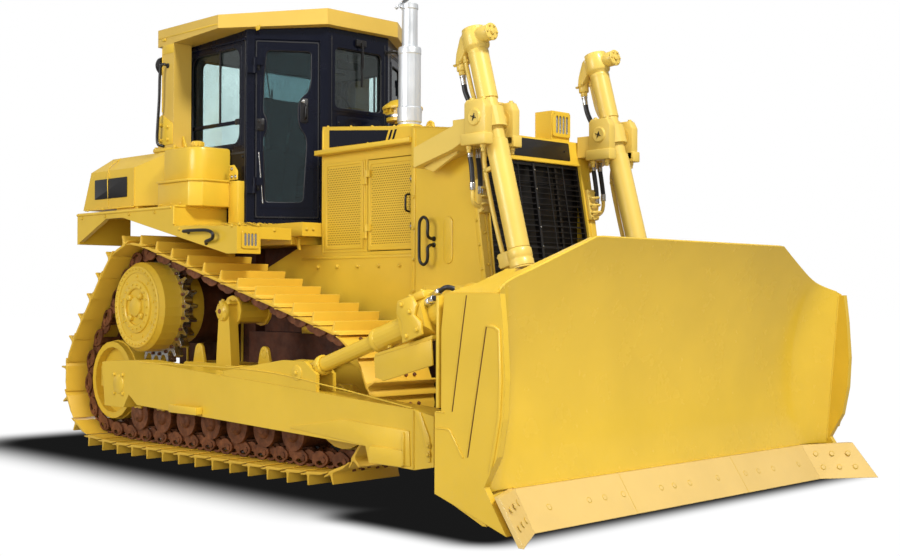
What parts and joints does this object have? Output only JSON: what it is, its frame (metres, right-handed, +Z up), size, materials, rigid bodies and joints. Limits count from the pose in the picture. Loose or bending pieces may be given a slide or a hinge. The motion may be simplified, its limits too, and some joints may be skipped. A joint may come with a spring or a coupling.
{
  "type": "crawler bulldozer",
  "caption": "Crawler bulldozer with raised drive sprockets, a closed cab and a wide curved blade on two push arms, raised by a pair of hydraulic cylinders.",
  "frame": {"origin": "on the ground under the middle of the overall length and width", "axes": "+X forward to the blade, +Y to the machine's left, +Z up"},
  "size_m": [5.68, 3.592, 3.385],
  "materials": {
    "yellow_paint": "gloss",
    "brown_iron": "worn",
    "bright_steel": "satin",
    "dark_paint": "satin",
    "dark_glass": "clear",
    "seat_cloth": "matte"
  },
  "bodies": {
    "machine": {"main_frame": "yellow_paint", "equalizer_bar": "yellow_paint", "rear_case": "yellow_paint", "track_frame_R": "yellow_paint", "track_frame_L": "yellow_paint", "final_drive_R": "yellow_paint", "final_drive_L": "yellow_paint", "hood": "yellow_paint", "side_guard_R": "yellow_paint", "side_guard_L": "yellow_paint", "radiator_guard": "yellow_paint", "lift_yoke_R": "yellow_paint", "lift_yoke_L": "yellow_paint", "rops_roof": "yellow_paint", "platform": "yellow_paint", "fender_R": "yellow_paint", "fender_L": "yellow_paint", "hydraulic_tank": "yellow_paint", "battery_box": "yellow_paint", "fuel_tank": "yellow_paint", "pre_cleaner": "yellow_paint", "pivot_shaft": "brown_iron", "gearbox": "brown_iron", "engine": "brown_iron", "drawbar_hitch": "brown_iron", "track_R": "brown_iron", "track_L": "brown_iron", "sprocket_R": "bright_steel", "sprocket_L": "bright_steel", "exhaust_stack": "bright_steel", "cab": "dark_paint", "grille": "dark_paint", "radiator_core": "dark_paint", "dashboard": "dark_paint", "windscreen": "dark_glass", "rear_glass": "dark_glass", "side_glass_R": "dark_glass", "side_glass_L": "dark_glass", "seat": "seat_cloth"},
    "blade_lift": {"blade": "yellow_paint", "cutting_edge": "brown_iron", "end_bit_R": "brown_iron", "end_bit_L": "brown_iron", "push_arm_R": "yellow_paint", "push_arm_L": "yellow_paint", "tilt_cylinder": "yellow_paint", "brace_tube": "yellow_paint"},
    "lift_barrel_R": {"lift_barrel_R": "yellow_paint"},
    "lift_rod_R": {"lift_rod_R": "bright_steel"},
    "cab_door_R": {"cab_door_R": "dark_paint", "door_glass_R": "dark_glass"},
    "engine_door_R": {"engine_door_R": "yellow_paint"},
    "lift_barrel_L": {"lift_barrel_L": "yellow_paint"},
    "lift_rod_L": {"lift_rod_L": "bright_steel"},
    "cab_door_L": {"cab_door_L": "dark_paint", "door_glass_L": "dark_glass"},
    "engine_door_L": {"engine_door_L": "yellow_paint"}
  },
  "joints": [
    {"name": "blade_lift", "type": "hinge", "parent": "machine", "child": "blade_lift", "pos_m": [-1.5, 0, 0.57], "axis": [0, -1, 0], "range_deg": [-6.5, 14.5]},
    {"name": "lift_swing_R", "type": "hinge", "parent": "machine", "child": "lift_barrel_R", "pos_m": [1.495, -0.61, 2.335], "axis": [0, -1, 0], "range_deg": [-4.5, 9.5]},
    {"name": "lift_stroke_R", "type": "slide", "parent": "lift_barrel_R", "child": "lift_rod_R", "axis": [0.2683, 0, -0.9633], "range_m": [-0.88, 0.4]},
    {"name": "cab_door_R", "type": "hinge", "parent": "machine", "child": "cab_door_R", "pos_m": [-0.80072, -0.76034, 2.45], "axis": [0, 0, -1], "range_deg": [0, 110]},
    {"name": "engine_door_R", "type": "hinge", "parent": "machine", "child": "engine_door_R", "pos_m": [0.2075, -0.534, 1.86], "axis": [0, 0, -1], "range_deg": [0, 120]},
    {"name": "lift_swing_L", "type": "hinge", "parent": "machine", "child": "lift_barrel_L", "pos_m": [1.495, 0.61, 2.335], "axis": [0, -1, 0], "range_deg": [-4.5, 9.5]},
    {"name": "lift_stroke_L", "type": "slide", "parent": "lift_barrel_L", "child": "lift_rod_L", "axis": [0.2683, 0, -0.9633], "range_m": [-0.88, 0.4]},
    {"name": "cab_door_L", "type": "hinge", "parent": "machine", "child": "cab_door_L", "pos_m": [-0.80072, 0.76034, 2.45], "axis": [0, 0, 1], "range_deg": [0, 110]},
    {"name": "engine_door_L", "type": "hinge", "parent": "machine", "child": "engine_door_L", "pos_m": [0.2075, 0.534, 1.86], "axis": [0, 0, 1], "range_deg": [0, 120]}
  ],
  "couplings": [
    {"joint": "lift_swing_R", "follows": "blade_lift", "ratio": 0.5525},
    {"joint": "lift_stroke_R", "follows": "blade_lift", "m_per_rad": -3.39},
    {"joint": "lift_swing_L", "follows": "blade_lift", "ratio": 0.5525},
    {"joint": "lift_stroke_L", "follows": "blade_lift", "m_per_rad": -3.39}
  ]
}
